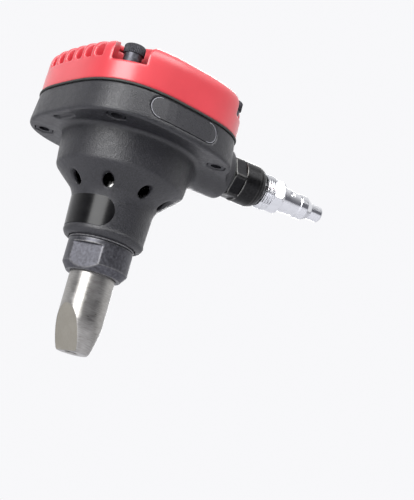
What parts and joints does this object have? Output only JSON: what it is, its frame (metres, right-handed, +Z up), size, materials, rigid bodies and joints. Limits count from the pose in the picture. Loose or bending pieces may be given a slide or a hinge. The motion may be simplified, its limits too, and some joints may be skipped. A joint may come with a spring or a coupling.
{
  "type": "pneumatic palm nailer",
  "caption": "Palm-held air nailer for flooring cleats: domed cap on a squared housing, vented bowl and neck, steel nose with hammering driver, and swivel air inlet.",
  "frame": {"origin": "centre of the nose tip, at the mouth of the nail guide", "axes": "+Z up the tool axis to the cap, +X out along the air inlet"},
  "size_m": [0.1507, 0.089, 0.1347],
  "materials": {
    "red_cap": "glossy moulded plastic",
    "black_steel": "black oxide",
    "zinc_steel": "zinc plated",
    "seal_rubber": "matt",
    "felt": "felt",
    "alloy": "machined",
    "spring_steel": "bright",
    "housing": "fine moulded grain",
    "badge": "gloss",
    "label": "gloss film",
    "cylinder_steel": "honed",
    "urethane": "satin",
    "tool_steel": "ground",
    "ground_steel": "ground and brushed",
    "magnet": "nickel plated",
    "chrome": "bright plated"
  },
  "bodies": {
    "housing": {"cap": "red_cap", "cap_screw": "black_steel", "screw_collar": "black_steel", "screw_nut": "zinc_steel", "gasket": "seal_rubber", "vent_felt": "felt", "head_plate": "alloy", "head_seal": "seal_rubber", "valve_spring": "spring_steel", "body_shell": "housing", "badge_plate": "badge", "neck_label": "label", "cylinder": "cylinder_steel", "flange_seal": "seal_rubber", "bumper": "urethane", "nose_nut": "black_steel", "nose_tube": "ground_steel", "nose_magnet": "magnet", "inlet_spigot": "zinc_steel", "gap_washer": "seal_rubber", "swivel_ring": "seal_rubber", "swivel_clip": "spring_steel"},
    "hammer": {"piston": "alloy", "piston_ring": "seal_rubber", "driver": "tool_steel", "driver_pin": "zinc_steel"},
    "valve": {"head_valve": "alloy", "valve_seal": "seal_rubber"},
    "swivel": {"swivel_adapter": "black_steel", "air_plug": "chrome", "plug_seal": "seal_rubber"}
  },
  "joints": [
    {"name": "piston_slide", "type": "slide", "parent": "housing", "child": "hammer", "axis": [0, 0, 1], "range_m": [0, 0.022]},
    {"name": "valve_lift", "type": "slide", "parent": "housing", "child": "valve", "axis": [0, 0, 1], "range_m": [0, 0.0015], "stiffness_N_per_m": 800, "springref_m": -0.004, "deforming": ["valve_spring"]},
    {"name": "inlet_swivel", "type": "hinge", "parent": "housing", "child": "swivel", "pos_m": [0.06, 0, 0.1035], "axis": [1, 0, 0], "continuous": true}
  ]
}
